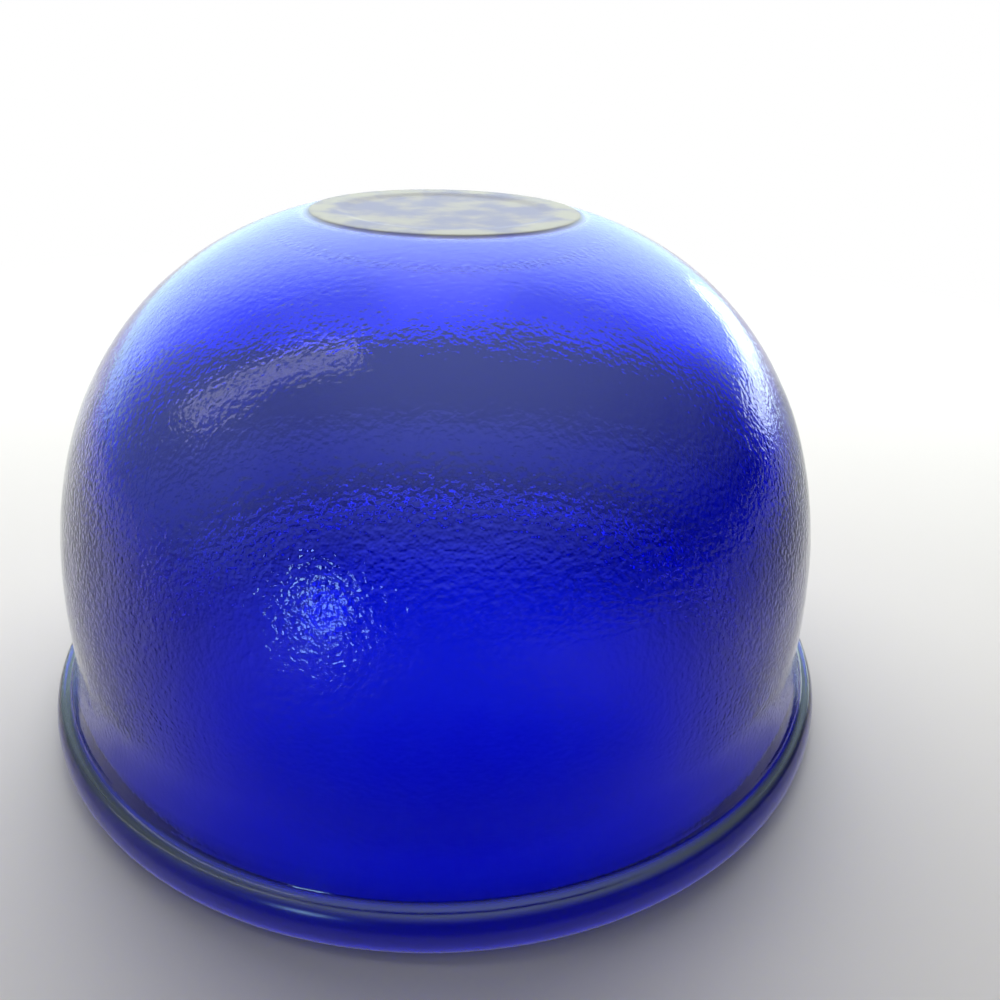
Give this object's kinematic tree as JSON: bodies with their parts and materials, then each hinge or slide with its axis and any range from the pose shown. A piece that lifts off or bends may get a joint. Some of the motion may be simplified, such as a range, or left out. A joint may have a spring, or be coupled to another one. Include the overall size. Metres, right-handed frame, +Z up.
{
  "type": "glass bowl",
  "caption": "Round deep bowl of clear cobalt blue glass with a domed wall, a rolled bead round the lip and a small flat foot, stored upside down.",
  "frame": {"origin": "on the bowl's axis, in the plane that its lip rests on when it stands upside down", "axes": "+Z up the axis, from the lip out through the foot, so the cavity opens towards -Z; the bowl is the same all round, so +X and +Y are any two directions in the lip's plane. Turn it half a turn about X to stand it on its foot."},
  "size_m": [0.12, 0.12, 0.0724],
  "materials": {
    "cobalt_glass": "glossy, with a fine orange-peel skin outside"
  },
  "bodies": {
    "root": {"bowl_wall": "cobalt_glass", "rim_bead": "cobalt_glass", "foot_pad": "cobalt_glass"}
  },
  "joints": []
}
